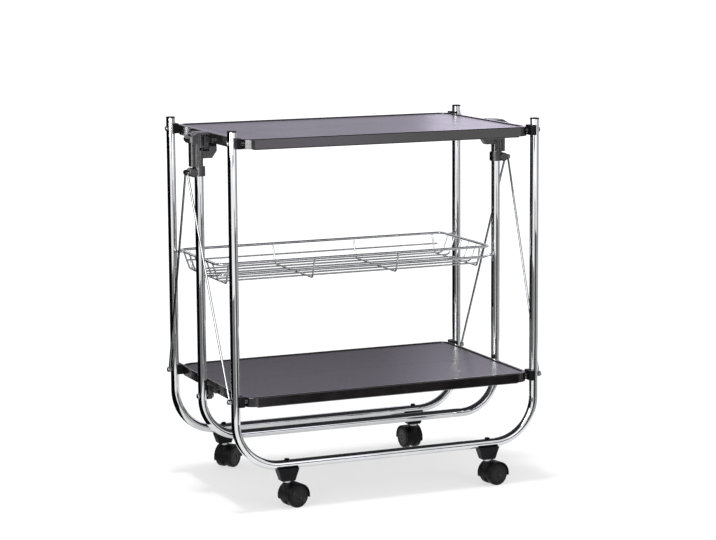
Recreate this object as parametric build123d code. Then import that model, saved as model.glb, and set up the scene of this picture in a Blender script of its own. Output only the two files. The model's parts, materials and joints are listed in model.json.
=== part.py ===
"""Folding serving cart: three tube frames, two split trays, a wire basket and four swivel casters.

Millimetres. +X runs along the cart, -Y is the front, +Z is up. Sizes count from the floor and from
the plane of the middle frame; the finished pieces are moved so that the origin lies on the floor
under the middle of the whole cart.
"""
import os
from math import atan2, cos, degrees, radians, sin, sqrt

from build123d import *

# Frames
TUBE_R = 8.0
TUBE_WALL = 1.2
BEND_R = 80.0
MIDDLE_BEND_R = 70.0
FRAME_PITCH = 163.0
OUTER_UPRIGHT_GAP = 5.5
MIDDLE_BOTTOM_DROP = 85.0
UPRIGHT_ABOVE_TRAY = 12.0
MIDDLE_TOP_DROP = 8.0
CAP_T = 2.5
CAP_RIM = 0.4
CAP_PLUG = 9.0

# Trays
TRAY_LENGTH = 553.0
TRAY_OVERHANG = 13.0
RIM_H = 19.0
LOWER_TRAY_RISE = 108.0
SHELF_PITCH = 449.0
CORNER_R = 24.0
CORNER_LIFT = 1.8
RIM_WALL = 6.0
LIP_H = 2.0
LEDGE_W = 9.0
RIM_EDGE_R = 2.0
PANEL_T = 10.0
SEAM_GAP = 0.8

# Pivots
OUTER_PIVOT_RISE = 12.0
CENTRE_PIVOT_DROP = 20.0
RIVET_R = 2.5
RIVET_HEAD_R = 4.5
RIVET_HEAD_T = 2.5
PIVOT_BOSS_R = 6.0
SADDLE_T = 5.0
SADDLE_WRAP = 6.0
SADDLE_OUT = 14.0
SADDLE_IN = 10.0
SADDLE_H = 18.0
SADDLE_EDGE_R = 3.0
CENTRE_PIN_R = 3.0
CENTRE_HEAD_R = 5.0
CENTRE_HEAD_T = 2.6
LUG_T = 3.9
EAR_R = 7.0
LUG_REACH = 36.0
LUG_BAR_LOW = 9.0
LUG_BAR_HIGH = 20.0

# Handles
HANDLE_H = 61.0
HANDLE_WALL = 3.5
HANDLE_FIN_OUT = 6.0
HANDLE_FIN_W = 15.0
HANDLE_TUBE_SHOWS = 3.0
FLUTE_R = 1.6
FLUTE_COUNT = 5
FLUTE_STEP_DEG = 24.0
FLANGE_T = 3.6
FLANGE_W = 36.0
FLANGE_CORNER_R = 9.0
WING_REACH = 24.0
WING_TIP_DROP = 12.0
WING_ROOT_DROP = 20.0
FORK_PLATE_T = 15.0
FORK_DROP = 20.0
FORK_CHAMFER = 9.0

# Collars and rods
COLLAR_H = 17.0
COLLAR_WALL = 3.5
COLLAR_BARREL_R = 8.0
COLLAR_BARREL_GAP = 1.5
COLLAR_BARREL_W = 22.0
COLLAR_ARM_L = 9.0
APEX_HALF_GAP = 5.2
APEX_DROP = 10.0
STUB_R = 2.2
STUB_HEAD_R = 3.6
STUB_HEAD_T = 1.6
ROD_R = 2.0
ROD_EYE_R = 4.8
ROD_EYE_T = 3.0
ROD_GAP = 1.5

# Bottle basket
BASKET_END_GAP = 6.5
BASKET_FRONT = 24.0
BASKET_BACK = 24.0
BASKET_RISE = 212.0
BASKET_CORNER_R = 14.0
BASKET_DEPTH = 37.0
BASKET_LEAN = 12.0
BASKET_BEND_R = 8.0
RIM_WIRE_R = 2.5
BASKET_STUB_R = 2.2
WIRE_R = 1.5
CROSS_WIRE_COUNT = 4
CROSS_WIRE_MARGIN = 21.0
LONG_WIRE_COUNT = 6

# Feet and casters
FOOT_INSET = 94.0
FOOT_H = 20.5
FOOT_TOP_L = 40.0
FOOT_TOP_W = 25.0
FOOT_BOTTOM_L = 26.0
FOOT_BOTTOM_W = 21.0
FOOT_SADDLE = 1.5
FOOT_CORNER_R = 3.0
BOLT_R = 2.5
BOLT_HEAD_R = 4.5
BOLT_HEAD_T = 1.8
BOLT_DEPTH = 8.0
STEM_R = 4.0
STEM_UP = 9.5
STEM_DOWN = 8.0
STEM_RING_R = 7.0
STEM_RING_T = 3.2
WHEEL_R = 20.5
WHEEL_W = 13.0
WHEEL_EDGE_R = 3.0
WHEEL_DISH = 1.2
WHEEL_BAND = 4.5
WEB_T = 6.5
HOOD_T = 2.0
HOOD_GAP = 0.9
HOOD_TILT_DEG = 3.0
HOOD_DROP = 4.8
CASTER_TRAIL = 14.0
CASTER_HEAD = 8.5
AXLE_R = 3.0
AXLE_END = 4.0
HUB_R = 8.0
BOSS_R = 7.5
SWIVEL_DEG = {"front_left": 12.0, "front_right": 10.0, "rear_left": 37.0, "rear_right": 95.0}

# Offset of the middle frame from the middle of the whole cart
ORIGIN_SHIFT_Y = -10.2

# Clearances
SEAT = 0.02
RUNNING = 0.05
FREE = 0.4
SLIDING = 0.3

# Places that follow from the sizes above
TRAY_END_X = TRAY_LENGTH / 2
TRAY_EDGE_Y = FRAME_PITCH + TRAY_OVERHANG
OUTER_X = TRAY_END_X + OUTER_UPRIGHT_GAP + TUBE_R
MIDDLE_X = TRAY_END_X + 2 * LUG_T + 3 * FREE + TUBE_R
FOOT_X = OUTER_X - FOOT_INSET
FOOT_BOTTOM_Z = 2 * WHEEL_R + CASTER_HEAD
OUTER_BOTTOM_Z = FOOT_BOTTOM_Z + FOOT_H + TUBE_R
LOWER_RIM_Z = OUTER_BOTTOM_Z + LOWER_TRAY_RISE
UPPER_RIM_Z = LOWER_RIM_Z + SHELF_PITCH
RIM_Z = {"upper": UPPER_RIM_Z, "lower": LOWER_RIM_Z}
OUTER_PIVOT_Z = {level: z + OUTER_PIVOT_RISE for level, z in RIM_Z.items()}
CENTRE_PIVOT_Z = {level: z - CENTRE_PIVOT_DROP for level, z in OUTER_PIVOT_Z.items()}
HANDLE_TOP_Z = UPPER_RIM_Z + RIM_H
HANDLE_BOTTOM_Z = HANDLE_TOP_Z - HANDLE_H
OUTER_TOP_Z = HANDLE_TOP_Z + UPRIGHT_ABOVE_TRAY
MIDDLE_TOP_Z = HANDLE_TOP_Z - MIDDLE_TOP_DROP
MIDDLE_BOTTOM_Z = LOWER_RIM_Z - MIDDLE_BOTTOM_DROP
HANDLE_R = TUBE_R + HANDLE_WALL
HANDLE_FIN = HANDLE_R + HANDLE_FIN_OUT
HANDLE_OPEN = TUBE_R - HANDLE_TUBE_SHOWS
FORK_REACH = MIDDLE_X - TRAY_END_X + FORK_PLATE_T
FORK_BOTTOM_Z = CENTRE_PIVOT_Z["upper"] - FORK_DROP
FORK_BASE_T = FORK_DROP - EAR_R - 1.5 * FREE
COLLAR_R = TUBE_R + COLLAR_WALL
COLLAR_BARREL_OUT = COLLAR_R + COLLAR_BARREL_GAP
COLLAR_ARM_OUT = COLLAR_R + COLLAR_ARM_L
APEX_OUT = COLLAR_ARM_OUT + ROD_EYE_T / 2 + 2.5 * FREE
ROD_OUT = TUBE_R + ROD_GAP + ROD_EYE_T / 2
BASKET_LENGTH = TRAY_LENGTH - 2 * BASKET_END_GAP
BASKET_PIVOT_Z = LOWER_RIM_Z + BASKET_RISE
APEX_Z = HANDLE_BOTTOM_Z - FREE - APEX_DROP
BASKET_RIM_Z = BASKET_PIVOT_Z + CENTRE_PIVOT_DROP
BASKET_FLOOR_Z = BASKET_RIM_Z - BASKET_DEPTH
ENDS = {"left": -1, "right": 1}
SIDES = {"front": -1, "rear": 1}

nodes = {}


def along_x(x0, x1, y, z, radius):
    """A cylinder along X between two X positions."""
    return Pos((x0 + x1) / 2, y, z) * Rot(0, 90, 0) * Cylinder(radius, abs(x1 - x0))


def along_z(x, y, z0, z1, radius):
    """A cylinder along Z between two heights."""
    return Pos(x, y, (z0 + z1) / 2) * Cylinder(radius, z1 - z0)


def block(x0, x1, y0, y1, z0, z1):
    """A box given by its limits."""
    return Pos((x0 + x1) / 2, (y0 + y1) / 2, (z0 + z1) / 2) * Box(abs(x1 - x0), abs(y1 - y0), z1 - z0)


def wire_along(path, radius):
    """A round wire swept along a path of straight runs and arcs."""
    start = Plane(origin=path @ 0, z_dir=path % 0)
    return sweep(start * Circle(radius), path=path)


def u_path(half, bottom_z, top_z, y, bend):
    """Centre line of a U frame: two uprights, two bends and a bottom run."""
    points = [(-half, y, top_z), (-half, y, bottom_z), (half, y, bottom_z), (half, y, top_z)]
    return FilletPolyline(*points, radius=bend)


def u_tube(half, bottom_z, top_z, y, bend):
    """A bent tube with its bore."""
    path = u_path(half, bottom_z, top_z, y, bend)
    return wire_along(path, TUBE_R) - wire_along(path, TUBE_R - TUBE_WALL)


def end_cap(x, y):
    """A disc over a tube end with a plug inside it."""
    disc = along_z(x, y, OUTER_TOP_Z, OUTER_TOP_Z + CAP_T, TUBE_R + CAP_RIM)
    disc = fillet(disc.edges().group_by(Axis.Z)[-1], CAP_T * 0.5)
    plug = along_z(x, y, OUTER_TOP_Z - CAP_PLUG, OUTER_TOP_Z, TUBE_R - TUBE_WALL - SEAT)
    return disc + plug


def rim_corner_x():
    """Distance of the rounded rim corner from the cart's middle, level with the outer pivot."""
    return TRAY_END_X - CORNER_R + sqrt(CORNER_R**2 - (CORNER_R - TRAY_OVERHANG) ** 2)


def leaf_outline(inset, side):
    """Plan of one tray leaf, inset on its three outer edges, with rounded outer corners."""
    length = TRAY_LENGTH - 2 * inset
    near = SEAM_GAP / 2
    far = TRAY_EDGE_Y - inset
    plan = Pos(0, (near + far) / 2) * Rectangle(length, far - near)
    plan = fillet(plan.vertices().group_by(Axis.Y)[-1], CORNER_R - inset)
    return plan if side > 0 else mirror(plan, about=Plane.XZ)


def leaf_slab(inset, side, z0, z1):
    """A leaf outline pulled up between two heights."""
    return extrude(Pos(0, 0, z0) * leaf_outline(inset, side), z1 - z0, dir=(0, 0, 1))


def tray_rim(level, side):
    """The moulded edge of a leaf: wall, raised lip, ledge under the panel and two pivot bosses."""
    base = RIM_Z[level]
    top = base + RIM_H
    panel_bottom = top - LIP_H - PANEL_T
    pivot_z = OUTER_PIVOT_Z[level]
    pivot_y = side * FRAME_PITCH
    body = leaf_slab(0, side, base, top)
    outer_edges = body.faces().sort_by(Axis.Z)[-1].edges() + body.faces().sort_by(Axis.Z)[0].edges()
    seam_y = side * SEAM_GAP / 2
    outer_edges = [edge for edge in outer_edges if abs(edge.center().Y - seam_y) > SEAM_GAP]
    body = fillet(outer_edges, RIM_EDGE_R)
    for end in ENDS.values():
        inner = end * (rim_corner_x() - RIM_WALL)
        outer = end * (OUTER_X - TUBE_R - SADDLE_T - FREE)
        body += along_x(inner, outer, pivot_y, pivot_z, PIVOT_BOSS_R)
    body -= leaf_slab(RIM_WALL, side, panel_bottom, top + RIM_H)
    body -= leaf_slab(RIM_WALL + LEDGE_W, side, base - RIM_H, panel_bottom)
    corner_y = side * (TRAY_EDGE_Y - CORNER_R)
    for end in ENDS.values():
        corner_x = end * (TRAY_END_X - CORNER_R)
        past_x = end * OUTER_X
        body -= block(corner_x, past_x, corner_y, side * (TRAY_EDGE_Y + RIM_WALL), base - RIM_H, base + CORNER_LIFT)
    for end in ENDS.values():
        inner = end * (rim_corner_x() - RIM_WALL + FREE)
        body -= along_x(inner, end * OUTER_X, pivot_y, pivot_z, RIVET_R + RUNNING)
    return body


def tray_panel(level, side):
    """The flat board that lies on the ledge, below the lip."""
    top = RIM_Z[level] + RIM_H - LIP_H
    return leaf_slab(RIM_WALL + RUNNING, side, top - PANEL_T, top)


def hinge_lug(level, side, end):
    """A lug on a leaf end: a bar against the rim, a neck beside the seam and an ear round the centre pin.

    The front leaf's ear runs next to the tray, the rear leaf's ear next to the upright.
    """
    pivot_z = CENTRE_PIVOT_Z[level]
    inner = TRAY_END_X + FREE
    ear_x = inner if side < 0 else inner + LUG_T + FREE
    bar_length = LUG_REACH + EAR_R
    bar_height = LUG_BAR_HIGH - LUG_BAR_LOW
    bar_place = Pos(LUG_REACH - bar_length / 2, LUG_BAR_HIGH - bar_height / 2)
    outline = Plane.YZ * (bar_place * Rectangle(bar_length, bar_height))
    neck = Plane.YZ * (Pos(0, LUG_BAR_HIGH / 2) * Rectangle(2 * EAR_R, LUG_BAR_HIGH))
    ear = Plane.YZ * Circle(EAR_R)
    plate = Pos(ear_x, 0, 0) * extrude(outline + neck + ear, LUG_T, dir=(1, 0, 0))
    plate = fillet(plate.edges().filter_by(Axis.X).group_by(Axis.Y)[-1], LUG_T)
    pad_top = LUG_BAR_HIGH - FREE
    pad = block(TRAY_END_X, ear_x, EAR_R + 2 * FREE, LUG_REACH - LUG_T, LUG_BAR_LOW + FREE, pad_top)
    lug = plate + pad - along_x(0, MIDDLE_X, 0, 0, CENTRE_PIN_R + RUNNING)
    if side < 0:
        lug = mirror(lug, about=Plane.XZ)
    if end < 0:
        lug = mirror(lug, about=Plane.YZ)
    return Pos(0, 0, pivot_z) * lug


def rivet(end, side, level, headed):
    """An outer pivot pin through an upright into the rim boss, with a domed head where it shows."""
    y = side * FRAME_PITCH
    z = OUTER_PIVOT_Z[level]
    inner = rim_corner_x() - RIM_WALL + 2 * FREE
    face = OUTER_X + TUBE_R
    if not headed:
        return along_x(end * inner, end * (face - FREE), y, z, RIVET_R)
    pin = along_x(inner, face, y, z, RIVET_R)
    head = along_x(face + SEAT, face + RIVET_HEAD_T, y, z, RIVET_HEAD_R)
    head = fillet(head.edges().group_by(Axis.X)[-1], RIVET_HEAD_T * 0.7)
    pin += along_x(face, face + RIVET_HEAD_T * 0.5, y, z, RIVET_R) + head
    return pin if end > 0 else mirror(pin, about=Plane.YZ)


def saddle(end, side, level):
    """A moulded saddle that hugs an upright's inner side and outward face, next to the leaf corner."""
    y = side * FRAME_PITCH
    z = OUTER_PIVOT_Z[level]
    inner = OUTER_X - TUBE_R - SADDLE_T
    outer = OUTER_X - TUBE_R + SADDLE_WRAP
    near = y - side * SADDLE_IN
    far = y + side * SADDLE_OUT
    body = block(inner, outer, near, far, z - SADDLE_H / 2, z + SADDLE_H / 2)
    outward_edges = [edge for edge in body.edges().filter_by(Axis.Z) if abs(edge.center().Y - far) < FREE]
    body = fillet(outward_edges, SADDLE_EDGE_R)
    body -= along_z(OUTER_X, y, z - SADDLE_H, z + SADDLE_H, TUBE_R + SEAT)
    body -= along_x(inner - SADDLE_T, outer, y, z, RIVET_R + SEAT)
    return body if end > 0 else mirror(body, about=Plane.YZ)


def centre_pin(end, level):
    """A pin through a middle upright and both lugs; the lower one has a head at each end."""
    z = CENTRE_PIVOT_Z[level]
    if level == "upper":
        inner = MIDDLE_X - FORK_REACH + FREE
        return along_x(end * inner, end * (MIDDLE_X + HANDLE_FIN - FREE), 0, z, CENTRE_PIN_R)
    face = MIDDLE_X + TUBE_R
    inner = TRAY_END_X - FREE
    pin = along_x(inner - CENTRE_HEAD_T, face + CENTRE_HEAD_T * 0.5, 0, z, CENTRE_PIN_R)
    head = along_x(face + SEAT, face + CENTRE_HEAD_T, 0, z, CENTRE_HEAD_R)
    pin += fillet(head.edges().group_by(Axis.X)[-1], CENTRE_HEAD_T * 0.6)
    pin += along_x(inner - CENTRE_HEAD_T, inner, 0, z, CENTRE_HEAD_R)
    return pin if end > 0 else mirror(pin, about=Plane.YZ)


def frame_tube(side):
    """A U tube bored for its pins, bolts and basket wires; side 0 is the middle frame."""
    if side == 0:
        tube = u_tube(MIDDLE_X, MIDDLE_BOTTOM_Z, MIDDLE_TOP_Z, 0, MIDDLE_BEND_R)
        for end in ENDS.values():
            for z in CENTRE_PIVOT_Z.values():
                tube -= along_x(end * (MIDDLE_X - 2 * TUBE_R), end * (MIDDLE_X + 2 * TUBE_R), 0, z, CENTRE_PIN_R + SEAT)
            tube -= along_x(end * (MIDDLE_X - 2 * TUBE_R), end * MIDDLE_X, 0, BASKET_PIVOT_Z, RIM_WIRE_R + RUNNING)
        return tube
    y = side * FRAME_PITCH
    tube = u_tube(OUTER_X, OUTER_BOTTOM_Z, OUTER_TOP_Z, y, BEND_R)
    for end in ENDS.values():
        for z in OUTER_PIVOT_Z.values():
            tube -= along_x(end * (OUTER_X - 2 * TUBE_R), end * (OUTER_X + 2 * TUBE_R), y, z, RIVET_R + SEAT)
        tube -= along_z(end * FOOT_X, y, OUTER_BOTTOM_Z - 2 * TUBE_R, OUTER_BOTTOM_Z + 2 * TUBE_R, BOLT_R + SEAT)
        if side > 0:
            tube -= along_x(end * (OUTER_X - 2 * TUBE_R), end * OUTER_X, y, BASKET_RIM_Z, BASKET_STUB_R + RUNNING)
    return tube


def handle(end):
    """A moulded handle on a middle upright: fluted column, flange, finger wing and hinge fork."""
    pivot_z = CENTRE_PIVOT_Z["upper"]
    flange_z = HANDLE_TOP_Z - FLANGE_T
    column_plan = Circle(HANDLE_R) + Pos(HANDLE_FIN / 2, 0) * Rectangle(HANDLE_FIN, HANDLE_FIN_W)
    column_plan = fillet(column_plan.vertices().group_by(Axis.X)[-1], HANDLE_FIN_W * 0.3)
    for index in range(FLUTE_COUNT):
        angle = radians(-90 - FLUTE_STEP_DEG * (index - (FLUTE_COUNT - 1) / 2))
        for mirror_y in (-1, 1):
            place = Pos(HANDLE_R * cos(angle), -mirror_y * HANDLE_R * sin(angle))
            column_plan -= place * Circle(FLUTE_R)
    column_plan -= Pos(-HANDLE_OPEN - HANDLE_R, 0) * Rectangle(2 * HANDLE_R, 4 * HANDLE_R)
    column = extrude(Pos(0, 0, HANDLE_BOTTOM_Z) * column_plan, flange_z + FREE - HANDLE_BOTTOM_Z)
    flange_in = MIDDLE_X - TRAY_END_X - 2 * FREE
    wing = [
        (-flange_in, flange_z),
        (-flange_in, HANDLE_TOP_Z),
        (HANDLE_R * 0.5, HANDLE_TOP_Z),
        (WING_REACH, HANDLE_TOP_Z - WING_TIP_DROP + FLANGE_T * 0.5),
        (WING_REACH, HANDLE_TOP_Z - WING_TIP_DROP - FLANGE_T * 0.5),
        (HANDLE_FIN - FREE, HANDLE_TOP_Z - WING_ROOT_DROP),
        (HANDLE_R * 0.5, HANDLE_TOP_Z - WING_ROOT_DROP),
        (HANDLE_R * 0.5, flange_z),
    ]
    wing_face = Plane.XZ * make_face(Polyline(*wing, close=True))
    top = extrude(wing_face, FLANGE_W / 2, both=True)
    upright_edges = top.edges().filter_by(Axis.Z)
    top = fillet(upright_edges.group_by(Axis.X)[-1], FLANGE_CORNER_R)
    fork_low = FORK_BOTTOM_Z
    fork_line = [
        (-HANDLE_OPEN - FREE, fork_low),
        (-FORK_REACH + FORK_CHAMFER, fork_low),
        (-FORK_REACH, fork_low + FORK_CHAMFER * 1.4),
        (-FORK_REACH, pivot_z + EAR_R),
        (-HANDLE_OPEN - FREE, pivot_z + EAR_R),
    ]
    fork = extrude(Plane.XZ * make_face(Polyline(*fork_line, close=True)), EAR_R, both=True)
    rounded = block(-FORK_REACH - EAR_R, 0, -EAR_R, EAR_R, fork_low - EAR_R, pivot_z)
    rounded += along_x(-FORK_REACH - EAR_R, 0, 0, pivot_z, EAR_R)
    fork = fork & rounded
    slot_in = MIDDLE_X - TRAY_END_X + FREE
    fork -= block(-slot_in, 0, -EAR_R * 2, EAR_R * 2, fork_low + FORK_BASE_T, pivot_z + EAR_R * 2)
    fork += block(-HANDLE_OPEN - 2 * FREE, 0, -EAR_R, EAR_R, fork_low, fork_low + FORK_BASE_T)
    body = column + top + fork
    body -= along_z(0, 0, HANDLE_BOTTOM_Z - TUBE_R, MIDDLE_TOP_Z + SEAT, TUBE_R + SEAT)
    body -= along_x(-FORK_REACH + FREE - SEAT, HANDLE_FIN + FREE, 0, pivot_z, CENTRE_PIN_R + SEAT)
    body = Pos(MIDDLE_X, 0, 0) * body
    return body if end > 0 else mirror(body, about=Plane.YZ)


def collar(end):
    """A sleeve on a middle upright with a barrel, an arm and two stub pins for the rod eyes."""
    top = HANDLE_BOTTOM_Z - FREE
    body = along_z(0, 0, top - COLLAR_H, top, COLLAR_R)
    barrel = Pos(COLLAR_BARREL_OUT, 0, APEX_Z) * Rot(90, 0, 0) * Cylinder(COLLAR_BARREL_R, COLLAR_BARREL_W)
    body += fillet(barrel.edges().filter_by(GeomType.CIRCLE), COLLAR_BARREL_R * 0.2)
    arm_half = APEX_HALF_GAP + STUB_HEAD_R
    arm = block(COLLAR_BARREL_OUT, COLLAR_ARM_OUT, -arm_half, arm_half, APEX_Z - STUB_HEAD_R, APEX_Z + STUB_HEAD_R)
    body += fillet(arm.edges().filter_by(Axis.X), STUB_HEAD_R * 0.8)
    body -= along_z(0, 0, top - 2 * COLLAR_H, top + COLLAR_H, TUBE_R + SLIDING)
    eye_out = APEX_OUT + ROD_EYE_T / 2
    for side in SIDES.values():
        y = side * APEX_HALF_GAP
        body += along_x(COLLAR_ARM_OUT - FREE, eye_out + FREE, y, APEX_Z, STUB_R)
        body += along_x(eye_out + FREE, eye_out + FREE + STUB_HEAD_T, y, APEX_Z, STUB_HEAD_R)
    body = Pos(MIDDLE_X, 0, 0) * body
    return body if end > 0 else mirror(body, about=Plane.YZ)


def rod(end, side):
    """A round rod with a flat eye at each end, and the rivet that closes its lower eye."""
    upper = Vector(MIDDLE_X + APEX_OUT, side * APEX_HALF_GAP, APEX_Z)
    lower = Vector(OUTER_X + ROD_OUT, side * FRAME_PITCH, OUTER_PIVOT_Z["lower"])
    line = lower - upper
    start = upper + line.normalized() * (ROD_EYE_R * 0.8)
    finish = lower - line.normalized() * (ROD_EYE_R * 0.8)
    body = wire_along(Line(start, finish), ROD_R)
    for centre in (upper, lower):
        body += along_x(centre.X - ROD_EYE_T / 2, centre.X + ROD_EYE_T / 2, centre.Y, centre.Z, ROD_EYE_R)
    for centre in (upper, lower):
        body -= along_x(centre.X - ROD_EYE_T, centre.X + ROD_EYE_T, centre.Y, centre.Z, STUB_R + RUNNING)
    pin_in = OUTER_X + TUBE_R + FREE
    head_in = lower.X + ROD_EYE_T / 2 + RUNNING
    pin = along_x(pin_in, head_in, lower.Y, lower.Z, STUB_R)
    head = along_x(head_in, head_in + RIVET_HEAD_T, lower.Y, lower.Z, RIVET_HEAD_R)
    pin += fillet(head.edges().group_by(Axis.X)[-1], RIVET_HEAD_T * 0.6)
    pair = Compound(children=[body.solid(), pin.solid()])
    return pair if end > 0 else mirror(pair, about=Plane.YZ)


def bottle_basket():
    """A welded wire basket: rim, crosswise and lengthwise U wires, side wires and pivot ends."""
    half = BASKET_LENGTH / 2
    front = -BASKET_FRONT
    back = FRAME_PITCH + BASKET_BACK
    middle_y = (front + back) / 2
    rim_plan = RectangleRounded(BASKET_LENGTH, back - front, BASKET_CORNER_R)
    rim_path = Pos(0, middle_y, BASKET_RIM_Z) * rim_plan.wire()
    body = wire_along(rim_path, RIM_WIRE_R)
    cross_pitch = (BASKET_LENGTH - 2 * CROSS_WIRE_MARGIN) / (CROSS_WIRE_COUNT - 1)
    for index in range(CROSS_WIRE_COUNT):
        x = (index - (CROSS_WIRE_COUNT - 1) / 2) * cross_pitch
        cross = FilletPolyline(
            (x, front, BASKET_RIM_Z),
            (x, front + BASKET_LEAN, BASKET_FLOOR_Z),
            (x, back - BASKET_LEAN, BASKET_FLOOR_Z),
            (x, back, BASKET_RIM_Z),
            radius=BASKET_BEND_R,
        )
        body += wire_along(cross, WIRE_R)
    floor_width = back - front - 2 * BASKET_LEAN
    long_z = BASKET_FLOOR_Z + 2 * WIRE_R - FREE
    for index in range(LONG_WIRE_COUNT):
        y = front + BASKET_LEAN + floor_width * (index + 0.5) / LONG_WIRE_COUNT
        lengthwise = FilletPolyline(
            (-half, y, BASKET_RIM_Z),
            (-half + BASKET_LEAN, y, long_z),
            (half - BASKET_LEAN, y, long_z),
            (half, y, BASKET_RIM_Z),
            radius=BASKET_BEND_R,
        )
        body += wire_along(lengthwise, WIRE_R)
    lean_at_pivot = BASKET_LEAN * CENTRE_PIVOT_DROP / BASKET_DEPTH
    side_x = half - BASKET_LEAN
    wire_y = front + lean_at_pivot - RIM_WIRE_R
    knee_x = MIDDLE_X - TUBE_R - 2 * RIM_WIRE_R
    pivot_end = MIDDLE_X - TUBE_R + 2 * TUBE_WALL
    carrier = FilletPolyline(
        (-pivot_end, 0, BASKET_PIVOT_Z),
        (-knee_x, 0, BASKET_PIVOT_Z),
        (-side_x, wire_y, BASKET_PIVOT_Z),
        (side_x, wire_y, BASKET_PIVOT_Z),
        (knee_x, 0, BASKET_PIVOT_Z),
        (pivot_end, 0, BASKET_PIVOT_Z),
        radius=2 * RIM_WIRE_R,
    )
    body += wire_along(carrier, RIM_WIRE_R)
    rear_y = back - lean_at_pivot + WIRE_R
    body += along_x(-side_x, side_x, rear_y, BASKET_PIVOT_Z, WIRE_R)
    for end in ENDS.values():
        stub_out = end * (OUTER_X - TUBE_R + 2 * TUBE_WALL)
        body += along_x(end * half, stub_out, FRAME_PITCH, BASKET_RIM_Z, BASKET_STUB_R)
    return body


def foot(end, side):
    """A tapered foot under a bottom run, saddled to the tube and bored for the bolt and the stem."""
    top = OUTER_BOTTOM_Z - TUBE_R + FOOT_SADDLE
    lower = Pos(0, 0, FOOT_BOTTOM_Z) * RectangleRounded(FOOT_BOTTOM_L, FOOT_BOTTOM_W, FOOT_CORNER_R)
    upper = Pos(0, 0, top) * RectangleRounded(FOOT_TOP_L, FOOT_TOP_W, FOOT_CORNER_R)
    body = loft([lower, upper])
    body -= along_x(-FOOT_TOP_L, FOOT_TOP_L, 0, OUTER_BOTTOM_Z, TUBE_R + SEAT)
    bolt_end = OUTER_BOTTOM_Z - TUBE_R - BOLT_DEPTH
    body -= along_z(0, 0, bolt_end - FREE, OUTER_BOTTOM_Z, BOLT_R + SEAT)
    body -= along_z(0, 0, FOOT_BOTTOM_Z - STEM_UP, FOOT_BOTTOM_Z + STEM_UP + FREE, STEM_R + RUNNING)
    return Pos(end * FOOT_X, side * FRAME_PITCH, 0) * body


def foot_bolt(end, side):
    """The bolt that clamps a foot, with its domed head on top of the tube."""
    x = end * FOOT_X
    y = side * FRAME_PITCH
    seat_z = OUTER_BOTTOM_Z + TUBE_R + SEAT
    shank = along_z(x, y, OUTER_BOTTOM_Z - TUBE_R - BOLT_DEPTH, seat_z + BOLT_HEAD_T * 0.5, BOLT_R)
    head = along_z(x, y, seat_z, seat_z + BOLT_HEAD_T, BOLT_HEAD_R)
    return shank + fillet(head.edges().group_by(Axis.Z)[-1], BOLT_HEAD_T * 0.7)


def caster_hood():
    """Hood of a twin-wheel caster: arched guard, middle web, axle hub and stem boss."""
    guard_r = WHEEL_R + HOOD_GAP + HOOD_T
    half_width = WEB_T / 2 + FREE + WHEEL_W
    drum = Rot(90, 0, 0) * Cylinder(guard_r, 2 * half_width)
    below = Pos(0, 0, -guard_r) * Box(4 * guard_r, 4 * half_width, 2 * guard_r)
    body = drum - Pos(0, 0, -HOOD_DROP) * Rot(0, -HOOD_TILT_DEG, 0) * below
    body += Rot(90, 0, 0) * Cylinder(HUB_R, WEB_T)
    boss_top = FOOT_BOTTOM_Z - STEM_RING_T - 2 * FREE - WHEEL_R
    body += along_z(-CASTER_TRAIL, 0, 0, boss_top, BOSS_R)
    well_r = WHEEL_R + HOOD_GAP
    for side in SIDES.values():
        well_y = side * (WEB_T / 2 + guard_r)
        body -= Pos(0, well_y, 0) * Rot(90, 0, 0) * Cylinder(well_r, 2 * guard_r)
    body -= Rot(90, 0, 0) * Cylinder(AXLE_R + SEAT, 2 * WEB_T)
    body -= along_z(-CASTER_TRAIL, 0, boss_top - STEM_DOWN, boss_top + STEM_DOWN, STEM_R + SEAT)
    return body


def caster_wheel():
    """A moulded wheel: rounded tread, dished outer face and a blind axle bore; its inner face is at Y = 0."""
    dish_r = WHEEL_R - WHEEL_BAND
    depth = WHEEL_W - AXLE_END
    outline = [
        (AXLE_R + RUNNING, 0),
        (WHEEL_R, 0),
        (WHEEL_R, WHEEL_W),
        (dish_r, WHEEL_W),
        (dish_r - WHEEL_DISH, WHEEL_W - WHEEL_DISH),
        (0, WHEEL_W - WHEEL_DISH),
        (0, depth),
        (AXLE_R + RUNNING, depth),
    ]
    profile = make_face(Polyline(*outline, close=True))
    tread = profile.vertices().group_by(Axis.X)[-1]
    profile = fillet(tread, WHEEL_EDGE_R)
    wheel = revolve(Plane.XY * profile, axis=Axis.Y)
    return wheel


def caster(corner, end, side):
    """The nodes of one caster, turned to its resting swivel angle under its foot."""
    place = Pos(end * FOOT_X, side * FRAME_PITCH, 0) * Rot(0, 0, SWIVEL_DEG[corner])
    hub = place * Pos(CASTER_TRAIL, 0, WHEEL_R)
    inner = WEB_T / 2 + FREE
    axle_half = inner + WHEEL_W - AXLE_END - FREE
    ring_top = FOOT_BOTTOM_Z - FREE
    boss_top = FOOT_BOTTOM_Z - STEM_RING_T - 2 * FREE
    stem = along_z(0, 0, boss_top - STEM_DOWN + FREE, FOOT_BOTTOM_Z + STEM_UP, STEM_R)
    stem += along_z(0, 0, boss_top, ring_top, STEM_RING_R)
    wheel = caster_wheel()
    return {
        f"{corner}_caster_hood": hub * caster_hood(),
        f"{corner}_caster_stem": place * stem,
        f"{corner}_caster_axle": hub * Rot(90, 0, 0) * Cylinder(AXLE_R, 2 * axle_half),
        f"{corner}_wheel_a": hub * Pos(0, inner, 0) * wheel,
        f"{corner}_wheel_b": hub * Rot(0, 0, 180) * Pos(0, inner, 0) * wheel,
    }


def group(solids):
    """Like pieces that share one node as separate solids."""
    return Compound(children=[piece.solid() for piece in solids])


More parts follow.
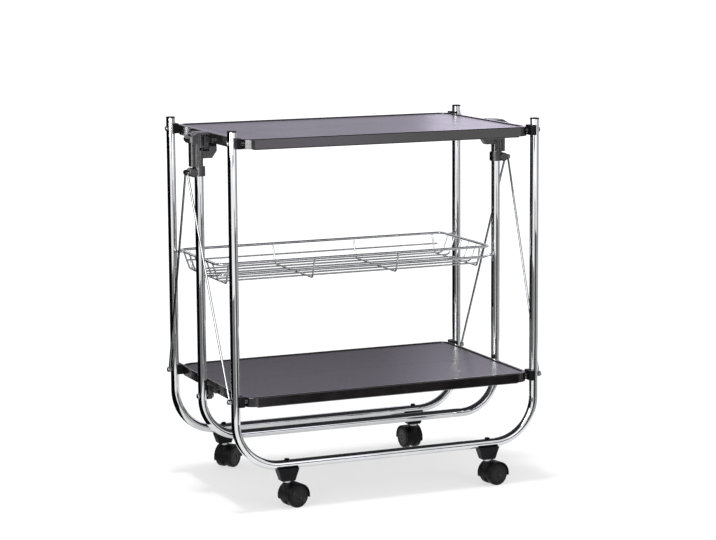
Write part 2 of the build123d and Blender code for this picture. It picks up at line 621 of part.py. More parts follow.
# Middle frame
nodes["middle_tube"] = frame_tube(0)
for end_name, end in ENDS.items():
    nodes[f"{end_name}_handle"] = handle(end)
for level in RIM_Z:
    nodes[f"{level}_centre_pins"] = group([centre_pin(end, level) for end in ENDS.values()])

# Outer frames with caps, rivets, feet and bolts
for side_name, side in SIDES.items():
    nodes[f"{side_name}_tube"] = frame_tube(side)
    y = side * FRAME_PITCH
    nodes[f"{side_name}_end_caps"] = group([end_cap(end * OUTER_X, y) for end in ENDS.values()])
    for level in RIM_Z:
        headed = level == "upper"
        rivets = [rivet(end, side, level, headed) for end in ENDS.values()]
        nodes[f"{side_name}_{level}_rivets"] = group(rivets)
    saddles = [saddle(end, side, level) for end in ENDS.values() for level in RIM_Z]
    nodes[f"{side_name}_saddles"] = group(saddles)
    nodes[f"{side_name}_foot_bolts"] = group([foot_bolt(end, side) for end in ENDS.values()])
    for end_name, end in ENDS.items():
        nodes[f"{side_name}_{end_name}_foot"] = foot(end, side)

# Tray leaves
for side_name, side in SIDES.items():
    for level in RIM_Z:
        nodes[f"{side_name}_{level}_rim"] = tray_rim(level, side)
        nodes[f"{side_name}_{level}_panel"] = tray_panel(level, side)
        lugs = [hinge_lug(level, side, end) for end in ENDS.values()]
        nodes[f"{side_name}_{level}_lugs"] = group(lugs)

# Collars and rods
for end_name, end in ENDS.items():
    nodes[f"{end_name}_collar"] = collar(end)
    for side_name, side in SIDES.items():
        nodes[f"{side_name}_{end_name}_rod"] = rod(end, side)

# Basket and casters
nodes["bottle_basket"] = bottle_basket()
for side_name, side in SIDES.items():
    for end_name, end in ENDS.items():
        nodes.update(caster(f"{side_name}_{end_name}", end, side))

os.makedirs("parts", exist_ok=True)
for name, shape in nodes.items():
    export_step(Pos(0, ORIGIN_SHIFT_Y, 0) * shape, f"parts/{name}.step")
print(len(nodes), "nodes written")
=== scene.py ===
"""Looks, stage and camera for a folding serving trolley with a wire bottle basket.

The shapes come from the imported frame. This script dresses them, adds small pieces that only dress a surface
and puts up the stage. Sizes of pieces are in millimetres, those of the stage in metres, angles in degrees.
"""

import json
import logging
import math
from dataclasses import dataclass, field
from enum import Enum

import bmesh
import bpy
from mathutils import Matrix, Vector

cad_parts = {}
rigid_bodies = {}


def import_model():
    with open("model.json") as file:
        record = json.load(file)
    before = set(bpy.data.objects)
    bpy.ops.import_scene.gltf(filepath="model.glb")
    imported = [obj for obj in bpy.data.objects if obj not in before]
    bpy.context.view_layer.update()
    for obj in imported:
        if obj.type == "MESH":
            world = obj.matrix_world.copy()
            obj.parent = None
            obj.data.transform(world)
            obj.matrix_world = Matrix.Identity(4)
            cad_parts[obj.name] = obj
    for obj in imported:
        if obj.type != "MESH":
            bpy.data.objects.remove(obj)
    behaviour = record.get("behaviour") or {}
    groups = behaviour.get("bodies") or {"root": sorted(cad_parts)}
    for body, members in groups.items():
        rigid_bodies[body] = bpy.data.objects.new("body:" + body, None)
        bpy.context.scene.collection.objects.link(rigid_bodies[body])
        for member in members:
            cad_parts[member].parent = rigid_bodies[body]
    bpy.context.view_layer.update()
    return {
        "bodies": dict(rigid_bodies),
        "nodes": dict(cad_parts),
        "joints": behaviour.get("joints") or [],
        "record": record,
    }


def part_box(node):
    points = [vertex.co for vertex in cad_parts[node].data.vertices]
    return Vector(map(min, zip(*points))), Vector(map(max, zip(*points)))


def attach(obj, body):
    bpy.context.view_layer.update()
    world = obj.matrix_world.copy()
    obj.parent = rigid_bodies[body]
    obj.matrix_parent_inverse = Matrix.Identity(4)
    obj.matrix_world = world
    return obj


LOG = logging.getLogger("trolley")
MM = 0.001
FULL_TURN = 360.0
UP = Vector((0.0, 0.0, 1.0))
WHITE = "#FFFFFF"
BLACK = "#000000"

# Pairs of a radius and a height, from which round shapes are spun.
Profile = tuple[tuple[float, float], ...]


class Side(Enum):
    """The two outer frames."""

    FRONT = "front"
    REAR = "rear"


class End(Enum):
    """The two ends of the trolley."""

    LEFT = "left"
    RIGHT = "right"


class Level(Enum):
    """The two trays."""

    UPPER = "upper"
    LOWER = "lower"


def linear(code: str) -> tuple[float, float, float, float]:
    """Turn an sRGB hex colour into linear RGBA.

    Args:
        code: six hex digits with a leading hash.

    Returns:
        The linear colour with an alpha of 1.
    """
    parts = [int(code[i : i + 2], 16) / 255 for i in (1, 3, 5)]
    curve = [p / 12.92 if p <= 0.04045 else ((p + 0.055) / 1.055) ** 2.4 for p in parts]
    return curve[0], curve[1], curve[2], 1.0


def per_metre(size_mm: float) -> float:
    """Give the texture scale whose pattern repeats about every size_mm."""
    return 1.0 / (size_mm * MM)


def add_node(
    tree: bpy.types.NodeTree,
    kind: str,
    links: dict[str | int, bpy.types.NodeSocket] | None = None,
    sockets: dict[str | int, object] | None = None,
    **settings: object,
) -> bpy.types.Node:
    """Add a shader node with its settings and its incoming links.

    Args:
        tree: the node tree that takes the node.
        kind: the node's type name.
        links: input sockets, by name or number, and the outputs that feed them.
        sockets: input sockets and their fixed values.
        settings: properties of the node itself.

    Returns:
        The new node.
    """
    node = tree.nodes.new(kind)
    for key, value in settings.items():
        setattr(node, key, value)
    for key, value in (sockets or {}).items():
        node.inputs[key].default_value = value
    for key, source in (links or {}).items():
        tree.links.new(source, node.inputs[key])
    return node


def seen_share(tree: bpy.types.NodeTree, *kinds: str) -> bpy.types.NodeSocket:
    """Tell the rays that look at a surface from those that only light the scene.

    Args:
        tree: the node tree that takes the nodes.
        kinds: outputs of the Light Path node that count as looking, two or more.

    Returns:
        A socket that is 1 for those rays and 0 for all others.
    """
    rays = add_node(tree, "ShaderNodeLightPath").outputs
    seen = rays[kinds[0]]
    for kind in kinds[1:]:
        either = add_node(tree, "ShaderNodeMath", {0: seen, 1: rays[kind]}, operation="MAXIMUM")
        seen = either.outputs["Value"]
    return seen


def spun(
    points: list[Vector],
    centre: Vector,
    axis: Vector,
    degrees: float,
    steps: int,
) -> bmesh.types.BMesh:
    """Spin an open line of points about an axis.

    Args:
        points: the line.
        centre: a point of the axis.
        axis: the unit direction of the axis.
        degrees: how far the line is spun. A full turn is closed.
        steps: how many facets the spin has.

    Returns:
        The spun shape.
    """
    form = bmesh.new()
    verts = [form.verts.new(point) for point in points]
    edges = [form.edges.new(pair) for pair in zip(verts, verts[1:])]
    bmesh.ops.spin(
        form,
        geom=verts + edges,
        cent=centre,
        axis=axis,
        angle=math.radians(degrees),
        steps=steps,
        use_merge=degrees == FULL_TURN,
    )
    return form


def turned(profile: Profile, centre: Vector, axis: Vector, steps: int) -> bmesh.types.BMesh:
    """Turn a small round piece, as on a lathe.

    Args:
        profile: radii and heights in millimetres, from the middle outwards.
        centre: the foot of the axis.
        axis: the unit direction of the heights.
        steps: how many facets the turn has.

    Returns:
        The turned shape.
    """
    across = axis.orthogonal().normalized()
    points = [centre + (across * radius + axis * height) * MM for radius, height in profile]
    return spun(points, centre, axis, FULL_TURN, steps)


def placed(name: str, form: bmesh.types.BMesh, material: bpy.types.Material) -> bpy.types.Object:
    """Make an object of a shape and put it in the scene.

    Args:
        name: the object's name.
        form: its shape, freed here.
        material: its surface.

    Returns:
        The new object.
    """
    mesh = bpy.data.meshes.new(name)
    form.to_mesh(mesh)
    form.free()
    mesh.materials.append(material)
    made = bpy.data.objects.new(name, mesh)
    bpy.context.scene.collection.objects.link(made)
    return made


@dataclass(frozen=True)
class Finish:
    """One real surface: two close colours in patches, a gloss range and a fine relief."""

    name: str
    dark: str
    light: str
    metallic: float
    smooth: float
    rough: float
    patch_mm: float
    relief_mm: float
    depth_mm: float
    strength: float
    stretch: tuple[float, float, float] = (1.0, 1.0, 1.0)
    specular: float = 0.5
    patch_detail: float = 4.0
    patch_rough: float = 0.6
    relief_detail: float = 3.0
    relief_rough: float = 0.55
    tint_range: tuple[float, float] = (0.36, 0.64)
    wear_range: tuple[float, float] = (0.75, 1.25)

    def material(self) -> bpy.types.Material:
        """Build the shader for this surface.

        Returns:
            The material, ready for a slot.
        """
        made = bpy.data.materials.new(self.name)
        made.use_nodes = True
        tree = made.node_tree
        shader = tree.nodes["Principled BSDF"]
        shader.inputs["Metallic"].default_value = self.metallic
        shader.inputs["Specular IOR Level"].default_value = self.specular
        place = add_node(tree, "ShaderNodeTexCoord").outputs["Object"]
        patches = add_node(
            tree,
            "ShaderNodeTexNoise",
            {"Vector": place},
            {
                "Scale": per_metre(self.patch_mm),
                "Detail": self.patch_detail,
                "Roughness": self.patch_rough,
            },
        )
        tint = add_node(tree, "ShaderNodeValToRGB", {"Fac": patches.outputs["Fac"]})
        for stop, position, code in zip(tint.color_ramp.elements, self.tint_range, (self.dark, self.light)):
            stop.position = position
            stop.color = linear(code)
        tree.links.new(tint.outputs["Color"], shader.inputs["Base Color"])
        stretched = add_node(tree, "ShaderNodeMapping", {"Vector": place}, {"Scale": self.stretch})
        relief = add_node(
            tree,
            "ShaderNodeTexNoise",
            {"Vector": stretched.outputs["Vector"]},
            {
                "Scale": per_metre(self.relief_mm),
                "Detail": self.relief_detail,
                "Roughness": self.relief_rough,
            },
        )
        wear = add_node(
            tree,
            "ShaderNodeMath",
            {0: patches.outputs["Fac"], 1: relief.outputs["Fac"]},
            operation="ADD",
        )
        least, most = self.wear_range
        gloss = add_node(
            tree,
            "ShaderNodeMapRange",
            {"Value": wear.outputs["Value"]},
            {"From Min": least, "From Max": most, "To Min": self.smooth, "To Max": self.rough},
        )
        tree.links.new(gloss.outputs["Result"], shader.inputs["Roughness"])
        bump = add_node(
            tree,
            "ShaderNodeBump",
            {"Height": relief.outputs["Fac"]},
            {"Strength": self.strength, "Distance": self.depth_mm * MM},
        )
        tree.links.new(bump.outputs["Normal"], shader.inputs["Normal"])
        return made


# Bright chromium plate over polished steel tube: a mirror with a faint haze and a long, slight ripple.
CHROME = Finish(
    name="chrome_plate_on_drawn_tube",
    dark="#D2D4D7",
    light="#DFE0E1",
    metallic=1.0,
    smooth=0.02,
    rough=0.06,
    patch_mm=60.0,
    relief_mm=45.0,
    depth_mm=0.05,
    strength=0.04,
)
# Bright nickel on welded wire: a little darker and softer than the tubes, with plating blotches.
WIRE = Finish(
    name="nickel_plate_on_welded_wire",
    dark="#B2B4B6",
    light="#C8CACB",
    metallic=1.0,
    smooth=0.20,
    rough=0.34,
    patch_mm=12.0,
    relief_mm=2.5,
    depth_mm=0.04,
    strength=0.08,
)
# Cold drawn steel rod with a thin clear zinc: a darker, even grey, nearly black on its shaded side.
ROD = Finish(
    name="clear_zinc_on_drawn_rod",
    dark="#85878A",
    light="#A0A2A4",
    metallic=1.0,
    smooth=0.14,
    rough=0.26,
    patch_mm=14.0,
    relief_mm=3.0,
    depth_mm=0.03,
    strength=0.08,
)
# Zinc plated turned steel: a duller, greyer metal with fine turning marks.
ZINC = Finish(
    name="zinc_plated_turned_steel",
    dark="#A2A4A7",
    light="#C2C3C4",
    metallic=1.0,
    smooth=0.18,
    rough=0.34,
    patch_mm=9.0,
    relief_mm=1.2,
    depth_mm=0.05,
    strength=0.2,
)
# Black oxide on a formed head: near black with a dull metal sheen.
OXIDE = Finish(
    name="black_oxide_formed_head",
    dark="#0B0B0C",
    light="#151516",
    metallic=1.0,
    smooth=0.40,
    rough=0.55,
    patch_mm=5.0,
    relief_mm=1.0,
    depth_mm=0.04,
    strength=0.2,
)
# Semi-gloss ABS rim from a polished mould: brown-black, with soft highlights, flow marks and scuffs.
RIM = Finish(
    name="abs_semi_gloss_rim",
    dark="#0F0C0C",
    light="#191415",
    metallic=0.0,
    smooth=0.15,
    rough=0.21,
    patch_mm=30.0,
    relief_mm=6.0,
    depth_mm=0.03,
    strength=0.05,
    specular=0.85,
)
# Satin foil on hardboard: dark violet grey with a fine embossed grain, drawn at 2 mm so that it shows.
PANEL = Finish(
    name="foiled_hardboard_panel",
    dark="#221F26",
    light="#27242C",
    metallic=0.0,
    smooth=0.27,
    rough=0.32,
    patch_mm=60.0,
    relief_mm=2.0,
    depth_mm=0.04,
    strength=0.05,
    stretch=(0.3, 1.0, 1.0),
)
# Polypropylene from a spark-eroded mould: satin black, with a fine pebble drawn at 1.4 mm so that it shows.
MOULDED = Finish(
    name="polypropylene_spark_textured",
    dark="#0E0E10",
    light="#18181A",
    metallic=0.0,
    smooth=0.38,
    rough=0.54,
    patch_mm=18.0,
    relief_mm=1.4,
    depth_mm=0.06,
    strength=0.30,
    specular=0.12,
)
# Glass-filled nylon of grips and hinge parts: black, smoother than the feet, with soft gleams on its ridges.
GRIP = Finish(
    name="nylon_satin_grip",
    dark="#0D0D0E",
    light="#161617",
    metallic=0.0,
    smooth=0.28,
    rough=0.40,
    patch_mm=14.0,
    relief_mm=1.6,
    depth_mm=0.05,
    strength=0.15,
    specular=0.95,
)
# Nylon wheel: dense black with a scuffed, slightly greyed tread.
NYLON = Finish(
    name="nylon_moulded_wheel",
    dark="#0B0B0C",
    light="#171718",
    metallic=0.0,
    smooth=0.34,
    rough=0.52,
    patch_mm=7.0,
    relief_mm=1.1,
    depth_mm=0.05,
    strength=0.25,
    specular=0.16,
)
# Nylon hub cap from a polished insert: the same black, smoother, so that it catches a soft gleam.
HUB = Finish(
    name="nylon_polished_hub_cap",
    dark="#0C0C0D",
    light="#131314",
    metallic=0.0,
    smooth=0.24,
    rough=0.36,
    patch_mm=8.0,
    relief_mm=2.0,
    depth_mm=0.03,
    strength=0.10,
    specular=0.25,
)


@dataclass
class Dresser:
    """Keeps one material per finish and puts it on nodes and new pieces."""

    frame: dict
    merge_mm: float = 0.01
    sharp_degrees: float = 35.0
    made: dict[str, bpy.types.Material] = field(default_factory=dict)

    def material(self, finish: Finish) -> bpy.types.Material:
        """Give the finish's material, made on first use."""
        if finish.name not in self.made:
            self.made[finish.name] = finish.material()
        return self.made[finish.name]

    def dress(self, finish: Finish, *names: str) -> None:
        """Put a finish on CAD nodes.

        Args:
            finish: the surface.
            names: the nodes.
        """
        for name in names:
            mesh = self.frame["nodes"][name].data
            if not mesh.materials:
                mesh.materials.append(None)
            for index in range(len(mesh.materials)):
                mesh.materials[index] = self.material(finish)
            LOG.info("dressed %s in %s", name, finish.name)

    def piece(self, name: str, form: bmesh.types.BMesh, finish: Finish, body: str, slot: str) -> None:
        """Turn a shape into a finished piece that rides on a body.

        Args:
            name: the piece's name.
            form: its shape in the frame, freed here.
            finish: its surface.
            body: the body that carries it.
            slot: the record's slot of its finish; not used.
        """
        bmesh.ops.remove_doubles(form, verts=form.verts, dist=self.merge_mm * MM)
        bmesh.ops.recalc_face_normals(form, faces=form.faces)
        made = placed(name, form, self.material(finish))
        made.data.shade_smooth()
        made.data.set_sharp_from_angle(angle=math.radians(self.sharp_degrees))
        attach(made, body)
        LOG.info("made %s on %s", name, body)


@dataclass
class Frames:
    """Three bent tubes with their caps, rivets, pins and saddles."""

    dresser: Dresser

    def build(self) -> None:
        """Dress the tubes and the small parts on them."""
        self.dresser.dress(CHROME, "middle_tube")
        self.dresser.dress(ZINC, "upper_centre_pins", "lower_centre_pins")
        for side in Side:
            name = side.value
            self.dresser.dress(CHROME, f"{name}_tube")
            self.dresser.dress(MOULDED, f"{name}_end_caps", f"{name}_saddles")
            self.dresser.dress(ZINC, f"{name}_upper_rivets", f"{name}_lower_rivets")


@dataclass
class Trays:
    """Two trays of two leaves each."""

    dresser: Dresser

    def build(self) -> None:
        """Dress rims, panels and hinge lugs."""
        for side in Side:
            for level in Level:
                name = f"{side.value}_{level.value}"
                self.dresser.dress(RIM, f"{name}_rim")
                self.dresser.dress(PANEL, f"{name}_panel")
                self.dresser.dress(GRIP, f"{name}_lugs")


@dataclass
class Bracing:
    """Handles with their screws, sliding collars and the four rods."""

    dresser: Dresser
    tube_r: float = 8.0
    handle_r: float = 11.5
    screw_z: float = 624.0
    screw_steps: int = 24
    screw: Profile = (
        (0.0, -0.6),
        (1.0, -0.6),
        (1.15, 0.1),
        (1.8, 0.2),
        (2.4, -0.1),
        (2.6, -0.7),
        (2.6, -2.4),
    )

    def build(self) -> None:
        """Dress the moulded parts and the rods and screw the handles on."""
        for end in End:
            self.dresser.dress(GRIP, f"{end.value}_handle", f"{end.value}_collar")
            for side in Side:
                self.handle_screw(end, side)
                self.dresser.dress(ROD, f"{side.value}_{end.value}_rod")

    def handle_screw(self, end: End, side: Side) -> None:
        """Sink one pan head screw in a face of a handle column.

        Args:
            end: which handle.
            side: the face it is on.
        """
        low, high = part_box("middle_tube")
        across = high.x - self.tube_r * MM if end is End.RIGHT else low.x + self.tube_r * MM
        out = Vector((0.0, 1.0 if side is Side.REAR else -1.0, 0.0))
        middle = Vector((across, (low.y + high.y) / 2, self.screw_z * MM))
        form = turned(self.screw, middle + out * self.handle_r * MM, out, self.screw_steps)
        self.dresser.piece(f"{end.value}_handle_{side.value}_screw", form, OXIDE, "middle_frame", "steel")


@dataclass
class Basket:
    """The wire bottle basket, with spot welds where its wires cross.

    Its depths are counted from the middle tube, to the rear.
    """

    dresser: Dresser
    front: float = -24.0
    back: float = 187.0
    half_length: float = 270.0
    end_gap: float = 21.0
    lean: float = 12.0
    floor_z: float = 382.3
    rim_z: float = 417.0
    carrier_y: float = -18.6
    rear_wire_y: float = 181.0
    carrier_z: float = 398.0
    long_wires: int = 6
    cross_wires: int = 4
    bead_r: float = 1.9
    bead_squash: tuple[float, float, float, float] = (1.1, 1.1, 0.8, 1.0)
    bead_subdivisions: int = 2

    def build(self) -> None:
        """Dress the wires and put the welds on."""
        self.dresser.dress(WIRE, "bottle_basket")
        self.welds()

    def crossings(self) -> list[tuple[float, float, float]]:
        """Find where two wires touch.

        Returns:
            The places on the floor, along the rim and on the two carrier wires.
        """
        reach = self.half_length - self.end_gap
        step = 2 * reach / (self.cross_wires - 1)
        cross = [-reach + step * i for i in range(self.cross_wires)]
        width = self.back - self.front - 2 * self.lean
        pitch = width / self.long_wires
        along = [self.front + self.lean + pitch * (i + 0.5) for i in range(self.long_wires)]
        places = [(x, y, self.floor_z) for x in cross for y in along]
        places += [(x, y, self.rim_z) for x in cross for y in (self.front, self.back)]
        places += [(x, y, self.rim_z) for x in (-self.half_length, self.half_length) for y in along]
        places += [(x, y, self.carrier_z) for x in cross for y in (self.carrier_y, self.rear_wire_y)]
        return places

    def welds(self) -> None:
        """Flatten a small bead of metal onto every wire crossing."""
        low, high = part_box("middle_tube")
        tube_axis = Vector((0.0, (low.y + high.y) / 2, 0.0))
        form = bmesh.new()
        for place in self.crossings():
            spot = Vector(place) * MM + tube_axis
            flat = Matrix.Translation(spot) @ Matrix.Diagonal(self.bead_squash)
            bmesh.ops.create_icosphere(
                form, subdivisions=self.bead_subdivisions, radius=self.bead_r * MM, matrix=flat
            )
        self.dresser.piece("basket_welds", form, WIRE, "bottle_basket", "chrome")


@dataclass
class Casters:
    """Feet with their bolts and four twin-wheel casters with a hub cap in each wheel."""

    dresser: Dresser
    bolt_r: float = 4.5
    bolt_steps: int = 32
    bolt_top: Profile = ((0.0, 0.06), (1.5, 0.06), (1.7, 0.5), (3.2, 0.45), (4.2, 0.2), (4.5, -0.2))
    half_wheel: float = 6.5
    dish: float = 1.2
    cap_steps: int = 40
    cap: Profile = (
        (0.0, 0.75),
        (3.6, 0.75),
        (4.2, 0.3),
        (5.2, 0.3),
        (5.8, 1.0),
        (11.6, 0.9),
        (12.3, 0.35),
        (13.2, 0.35),
        (13.9, 0.95),
        (15.2, 0.85),
        (15.6, 0.2),
        (15.6, -0.4),
    )

    def build(self) -> None:
        """Dress the feet, bolts, hoods, stems, axles and wheels and press the hub caps in."""
        for side in Side:
            self.dresser.dress(OXIDE, f"{side.value}_foot_bolts")
            self.bolt_tops(side)
            for end in End:
                corner = f"{side.value}_{end.value}"
                self.dresser.dress(MOULDED, f"{corner}_foot", f"{corner}_caster_hood")
                self.dresser.dress(ZINC, f"{corner}_caster_stem", f"{corner}_caster_axle")
                self.dresser.dress(NYLON, f"{corner}_wheel_a", f"{corner}_wheel_b")
                self.hub_cap(f"{corner}_wheel_a", f"{corner}_wheel_b")
                self.hub_cap(f"{corner}_wheel_b", f"{corner}_wheel_a")

    def bolt_tops(self, side: Side) -> None:
        """Give the two foot bolts of a frame domed tops with a drive recess.

        Args:
            side: which frame.
        """
        frame = f"{side.value}_frame"
        low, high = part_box(f"{side.value}_foot_bolts")
        for end in End:
            across = high.x - self.bolt_r * MM if end is End.RIGHT else low.x + self.bolt_r * MM
            top = Vector((across, (low.y + high.y) / 2, high.z))
            form = turned(self.bolt_top, top, UP, self.bolt_steps)
            self.dresser.piece(f"{side.value}_{end.value}_bolt_top", form, OXIDE, frame, "steel")

    def hub_cap(self, wheel: str, other: str) -> None:
        """Press a ringed cap into the outer dish of a wheel.

        Args:
            wheel: the wheel that takes the cap.
            other: the wheel on the other end of the axle.
        """
        low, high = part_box(wheel)
        middle = (low + high) / 2
        low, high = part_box(other)
        out = (middle - (low + high) / 2).normalized()
        seat = middle + out * (self.half_wheel - self.dish) * MM
        form = turned(self.cap, seat, out, self.cap_steps)
        self.dresser.piece(f"{wheel}_cap", form, HUB, wheel, "wheel_black")


@dataclass(frozen=True)
class FloorPaint:
    """White paint that keeps the shadow and glows more where the overhead lamp fades."""

    name: str = "white_studio_floor"
    colour: str = "#AAAAAA"
    rough: float = 0.9
    near: float = 1.0
    far: float = 6.0
    near_glow: float = 0.62
    far_glow: float = 0.95

    def material(self) -> bpy.types.Material:
        """Build the paint, whose glow is only looked at and lights nothing.

        Returns:
            The material of the floor.
        """
        made = bpy.data.materials.new(self.name)
        made.use_nodes = True
        tree = made.node_tree
        shader = tree.nodes["Principled BSDF"]
        shader.inputs["Base Color"].default_value = linear(self.colour)
        shader.inputs["Roughness"].default_value = self.rough
        shader.inputs["Specular IOR Level"].default_value = 0.0
        shader.inputs["Emission Color"].default_value = linear(WHITE)
        place = add_node(tree, "ShaderNodeTexCoord").outputs["Object"]
        away = add_node(tree, "ShaderNodeVectorMath", {0: place}, operation="LENGTH")
        glow = add_node(
            tree,
            "ShaderNodeMapRange",
            {"Value": away.outputs["Value"]},
            {"From Min": self.near, "From Max": self.far, "To Min": self.near_glow, "To Max": self.far_glow},
        )
        seen = seen_share(tree, "Is Camera Ray", "Is Glossy Ray")
        shown = add_node(tree, "ShaderNodeMath", {0: seen, 1: glow.outputs["Result"]}, operation="MULTIPLY")
        tree.links.new(shown.outputs["Value"], shader.inputs["Emission Strength"])
        return made


@dataclass(frozen=True)
class Sheet:
    """A curved card: the bearings it runs between, its radii and heights in metres and its glow."""

    name: str
    start: float
    stop: float
    profile: Profile
    glow: float
    tint: str = WHITE

    def material(self) -> bpy.types.Material:
        """Build a surface that glows evenly and reflects nothing.

        Returns:
            The material of the card.
        """
        made = bpy.data.materials.new(self.name)
        made.use_nodes = True
        shader = made.node_tree.nodes["Principled BSDF"]
        shader.inputs["Base Color"].default_value = linear(BLACK)
        shader.inputs["Specular IOR Level"].default_value = 0.0
        shader.inputs["Emission Color"].default_value = linear(self.tint)
        shader.inputs["Emission Strength"].default_value = self.glow
        return made


class Card(Enum):
    """Cards that only glossy surfaces see. Bearings are counted to the right of the camera."""

    # The dark field that draws the black stripe down the left of every tube.
    BLACK_LEFT = Sheet("black_card_left", -158.0, -35.0, ((0.36, 0.003), (6.0, 0.003), (6.0, 1.5)), 0.003)
    # A thin bright strip at the height that the corners of the upper rim mirror, and a dark one beside it.
    STREAK = Sheet("bright_strip_left", -40.0, 4.0, ((1.5, 0.51), (1.5, 0.58)), 14.0)
    FLAG = Sheet("dark_strip_middle", 6.0, 26.0, ((1.4, 0.48), (1.4, 0.61)), 0.02)
    # A higher card that puts gleams on the rougher black mouldings.
    KICK = Sheet("bright_card_left", -40.0, -4.0, ((1.5, 0.62), (1.5, 1.6)), 9.0)
    # Floor sheets and low cards that draw the grey and dark stripes of the tubes.
    GREY_LEFT = Sheet("grey_sheet_left", -44.0, 12.0, ((1.1, 0.004), (2.6, 0.004)), 0.22)
    THIN_DARK = Sheet("dark_strip_right", 22.0, 40.0, ((0.62, 0.003), (1.5, 0.003), (1.5, 0.36)), 0.22)
    LOW_RIGHT = Sheet("dark_sheet_right", 28.0, 68.0, ((0.66, 0.004), (1.7, 0.004), (1.7, 0.27)), 0.06)
    GREY_RIGHT = Sheet("grey_card_right", 70.0, 112.0, ((0.62, 0.003), (1.5, 0.003), (1.5, 0.6)), 0.42)
    # A soft, slightly cool card on the right, seen in the upper parts of the tubes and the rims.
    SOFT_RIGHT = Sheet("soft_card_right", 20.0, 44.0, ((1.9, 0.36), (1.9, 1.2)), 1.9, "#F4F0FF")
    # Low cards behind the trolley, which the lower panels mirror.
    LOW_BACK = Sheet("low_card_back", 118.0, 176.0, ((1.52, 0.003), (1.52, 0.56)), 0.27, "#F1EAFF")
    LOW_BACK_LEFT = Sheet("low_card_back_left", 176.0, 214.0, ((1.52, 0.003), (1.52, 0.56)), 0.08, "#FFF4E8")
    # Higher cards behind the trolley, which give the upper panels their sheen from left to right.
    BACK_LEFT = Sheet("back_card_left", 187.0, 214.0, ((2.0, 0.5), (2.0, 1.5)), 0.80, "#F1EAFF")
    BACK_MIDDLE = Sheet("back_card_middle", 174.0, 187.0, ((2.0, 0.5), (2.0, 1.5)), 0.85, "#F1EAFF")
    BACK_RIGHT = Sheet("back_card_right", 150.0, 174.0, ((2.0, 0.5), (2.0, 1.5)), 2.0, "#F1EAFF")
    # A dark ceiling, so that what faces up doesn't mirror the white room.
    CEILING = Sheet("dark_ceiling", -180.0, 180.0, ((0.05, 1.9), (1.9, 1.9)), 0.02)


@dataclass(frozen=True)
class Softbox:
    """A soft lamp: its bearing, distance and height, the height it faces, its two sides and its power."""

    name: str
    bearing: float
    away: float
    height: float
    aim_height: float
    size: tuple[float, float]
    watts: float


class Lamp(Enum):
    """Lamps that light the trolley and are never seen themselves."""

    KEY = Softbox("key_overhead", -37.51, 0.459, 7.5, 0.0, (0.7, 0.7), 320.0)
    LEFT = Softbox("softbox_left", -24.0, 2.6, 1.1, 0.45, (0.9, 1.4), 14.0)
    RIGHT = Softbox("softbox_right", 47.0, 2.6, 0.95, 0.35, (1.4, 1.4), 14.0)


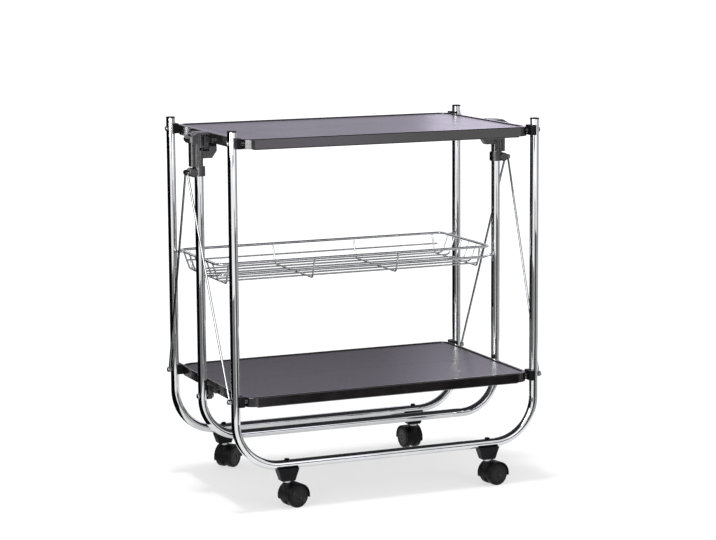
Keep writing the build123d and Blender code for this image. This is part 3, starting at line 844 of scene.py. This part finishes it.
@dataclass
class Studio:
    """Camera, room, floor, reflector cards and lamps.

    The camera's depths are counted from the middle tube, to the rear.
    """

    middle_y: float
    bearing: float = -23.13
    eye: tuple[float, float, float] = (-1.6329, -3.8510, 1.0260)
    aim: tuple[float, float, float] = (0.012, 0.0, 0.3867)
    roll: float = -0.38
    lens: float = 115.98
    sensor: float = 36.0
    room_light: float = 0.55
    room_shown: float = 1.0
    floor_reach: float = 60.0
    floor_cells: int = 2
    card_steps: int = 32

    def build(self) -> None:
        """Put up the whole stage."""
        self.camera()
        self.room()
        self.floor()
        for card in Card:
            self.card(card.value)
        for lamp in Lamp:
            self.lamp(lamp.value)

    def bear(self, degrees: float, radius: float, height: float) -> Vector:
        """Give the place at a bearing counted to the right of the camera, seen from the object."""
        angle = math.radians(self.bearing + degrees)
        return Vector((radius * math.sin(angle), -radius * math.cos(angle), height))

    def camera(self) -> None:
        """Stand the camera where the photograph was taken from."""
        data = bpy.data.cameras.new("camera")
        data.sensor_fit = "HORIZONTAL"
        data.sensor_width = self.sensor
        data.lens = self.lens
        made = bpy.data.objects.new("camera", data)
        bpy.context.scene.collection.objects.link(made)
        middle = Vector((0.0, self.middle_y, 0.0))
        place = Vector(self.eye) + middle
        look = Vector(self.aim) + middle - place
        turn = look.to_track_quat("-Z", "Y").to_matrix().to_4x4()
        roll = Matrix.Rotation(math.radians(self.roll), 4, "Z")
        made.matrix_world = Matrix.Translation(place) @ turn @ roll
        bpy.context.scene.camera = made

    def room(self) -> None:
        """Make a room that is white to look at and softer as a light."""
        made = bpy.data.worlds.new("studio")
        made.use_nodes = True
        bpy.context.scene.world = made
        tree = made.node_tree
        seen = seen_share(tree, "Is Camera Ray", "Is Glossy Ray", "Is Transmission Ray")
        level = add_node(
            tree,
            "ShaderNodeMapRange",
            {"Value": seen},
            {"To Min": self.room_light, "To Max": self.room_shown},
        )
        back = tree.nodes["Background"]
        back.inputs["Color"].default_value = linear(WHITE)
        tree.links.new(level.outputs["Result"], back.inputs["Strength"])

    def floor(self) -> None:
        """Lay the floor that takes the shadow."""
        form = bmesh.new()
        cells = self.floor_cells
        bmesh.ops.create_grid(form, x_segments=cells, y_segments=cells, size=self.floor_reach)
        made = placed("floor", form, FloorPaint().material())

    def card(self, sheet: Sheet) -> None:
        """Stand one curved card that only glossy rays see.

        Args:
            sheet: the card's size, place and glow.
        """
        line = [self.bear(sheet.start, radius, height) for radius, height in sheet.profile]
        form = spun(line, Vector(), UP, sheet.stop - sheet.start, self.card_steps)
        made = placed(sheet.name, form, sheet.material())
        made.visible_camera = False
        made.visible_diffuse = False
        made.visible_shadow = False
        made.visible_transmission = False

    def lamp(self, box: Softbox) -> None:
        """Hang one soft lamp.

        Args:
            box: the lamp's size, place and power.
        """
        data = bpy.data.lights.new(box.name, "AREA")
        data.shape = "RECTANGLE"
        data.size, data.size_y = box.size
        data.energy = box.watts
        made = bpy.data.objects.new(box.name, data)
        place = self.bear(box.bearing, box.away, box.height)
        made.location = place
        made.rotation_euler = (UP * box.aim_height - place).to_track_quat("-Z", "Y").to_euler()
        made.visible_camera = False
        made.visible_glossy = False
        bpy.context.scene.collection.objects.link(made)


def main() -> None:
    logging.basicConfig(level=logging.INFO, format="%(message)s")
    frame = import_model()
    low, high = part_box("middle_tube")
    Studio((low.y + high.y) / 2).build()
    dresser = Dresser(frame)
    for part in (Frames, Trays, Bracing, Basket, Casters):
        part(dresser).build()
    bpy.context.scene.view_settings.view_transform = "Standard"


if __name__ == "__main__":
    main()
